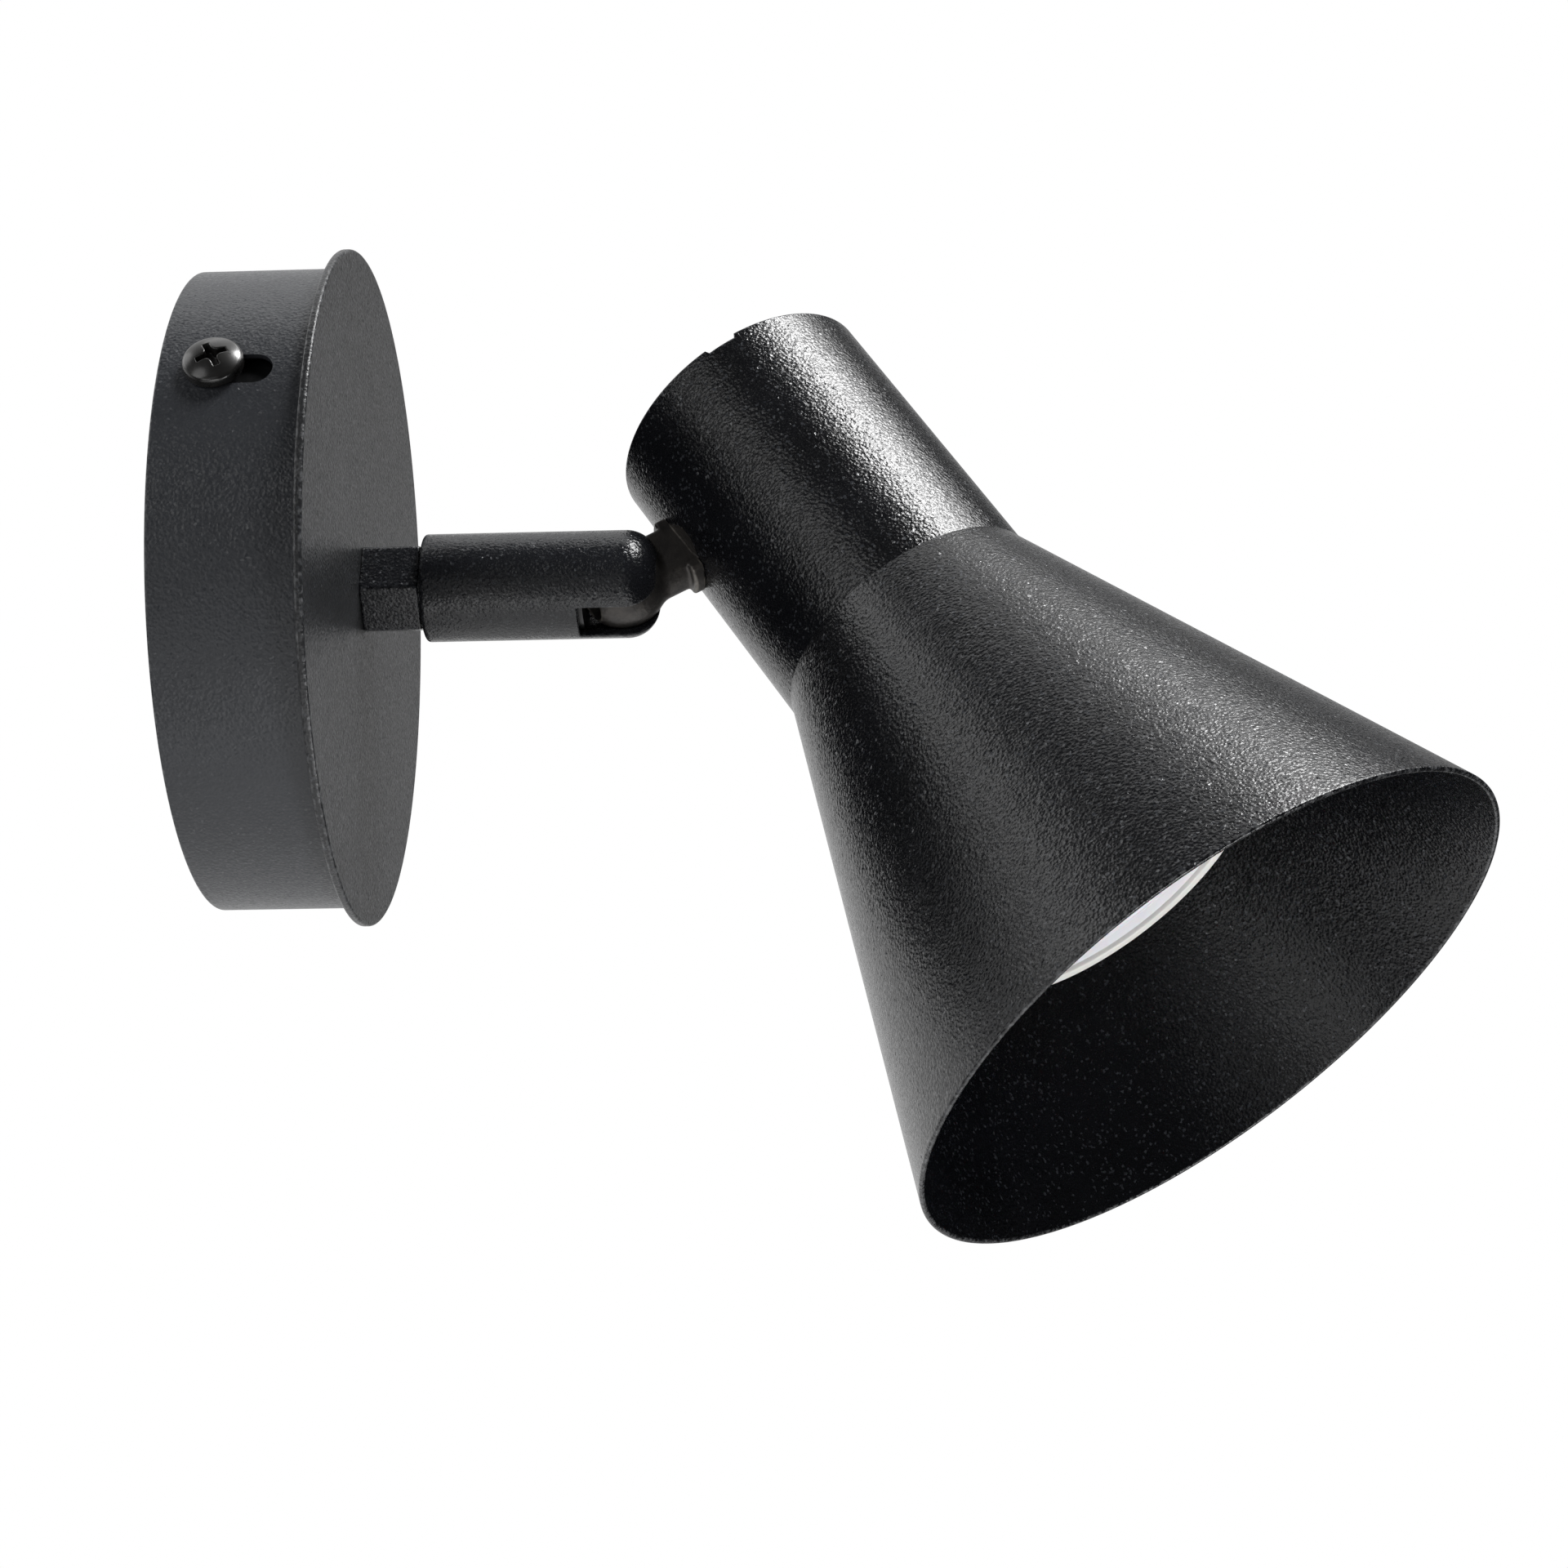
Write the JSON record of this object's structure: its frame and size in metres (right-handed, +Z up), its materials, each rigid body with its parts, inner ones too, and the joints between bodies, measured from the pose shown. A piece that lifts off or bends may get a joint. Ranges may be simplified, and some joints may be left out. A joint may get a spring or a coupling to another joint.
{
  "type": "wall spotlight",
  "caption": "Pivoting spotlight wall light: round canopy with a flat faceplate, swivel barrel with slotted ball joint, and a cylinder shade that flares to a cone.",
  "frame": {"origin": "centre of the canopy's back, on the wall plane", "axes": "-Y out of the wall into the room along the arm, +Z up, +X to the right seen from the room"},
  "size_m": [0.129, 0.1842, 0.1461],
  "materials": {
    "black_powder_coat": "textured",
    "black_gloss_screw": "gloss",
    "blackened_steel": "satin",
    "zinc_steel": "satin",
    "spring_steel": "satin",
    "brass_nickel": "satin",
    "white_polyamide": "matte",
    "black_acetal": "matte",
    "steatite": "matte",
    "lamp_housing_white": "satin",
    "lamp_diffuser": "satin"
  },
  "bodies": {
    "canopy": {"canopy_drum": "black_powder_coat", "faceplate": "black_powder_coat", "mounting_bracket": "zinc_steel", "canopy_screw_left": "black_gloss_screw", "canopy_screw_right": "black_gloss_screw", "terminal_block": "white_polyamide", "terminal_screw_1": "brass_nickel", "terminal_screw_2": "brass_nickel", "terminal_screw_3": "brass_nickel", "terminal_fixing_screw": "zinc_steel", "earth_washer": "brass_nickel", "earth_screw": "zinc_steel", "arm_root": "blackened_steel", "root_lock_washer": "zinc_steel", "root_lock_nut": "zinc_steel", "retaining_ring": "spring_steel"},
    "arm": {"barrel": "black_powder_coat", "barrel_bush": "black_acetal", "spring_seat": "zinc_steel", "friction_spring": "spring_steel", "friction_cup": "black_acetal"},
    "head": {"knuckle": "blackened_steel", "shade_sleeve": "black_powder_coat", "shade_cone": "black_powder_coat", "rear_cap": "black_powder_coat", "saddle_washer": "zinc_steel", "lampholder_strap": "zinc_steel", "tail_lock_washer": "zinc_steel", "tail_lock_nut": "zinc_steel", "lampholder": "steatite", "holder_screw_1": "zinc_steel", "holder_screw_2": "zinc_steel"},
    "lamp": {"lamp_body": "lamp_housing_white", "lamp_lens": "lamp_diffuser", "lamp_pin_1": "brass_nickel", "lamp_pin_2": "brass_nickel"}
  },
  "joints": [
    {"name": "barrel_pan", "type": "hinge", "parent": "canopy", "child": "arm", "pos_m": [0, -0.035, 0], "axis": [0, -1, 0], "range_deg": [-160, 160]},
    {"name": "head_tilt", "type": "hinge", "parent": "arm", "child": "head", "pos_m": [0, -0.0602, 0], "axis": [0.7902, 0, -0.6129], "range_deg": [-57, 52]},
    {"name": "lamp_twist", "type": "hinge", "parent": "head", "child": "lamp", "pos_m": [-0.00262, -0.10284, -0.00814], "axis": [-0.4362, -0.5377, -0.7216], "range_deg": [0, 20]}
  ]
}
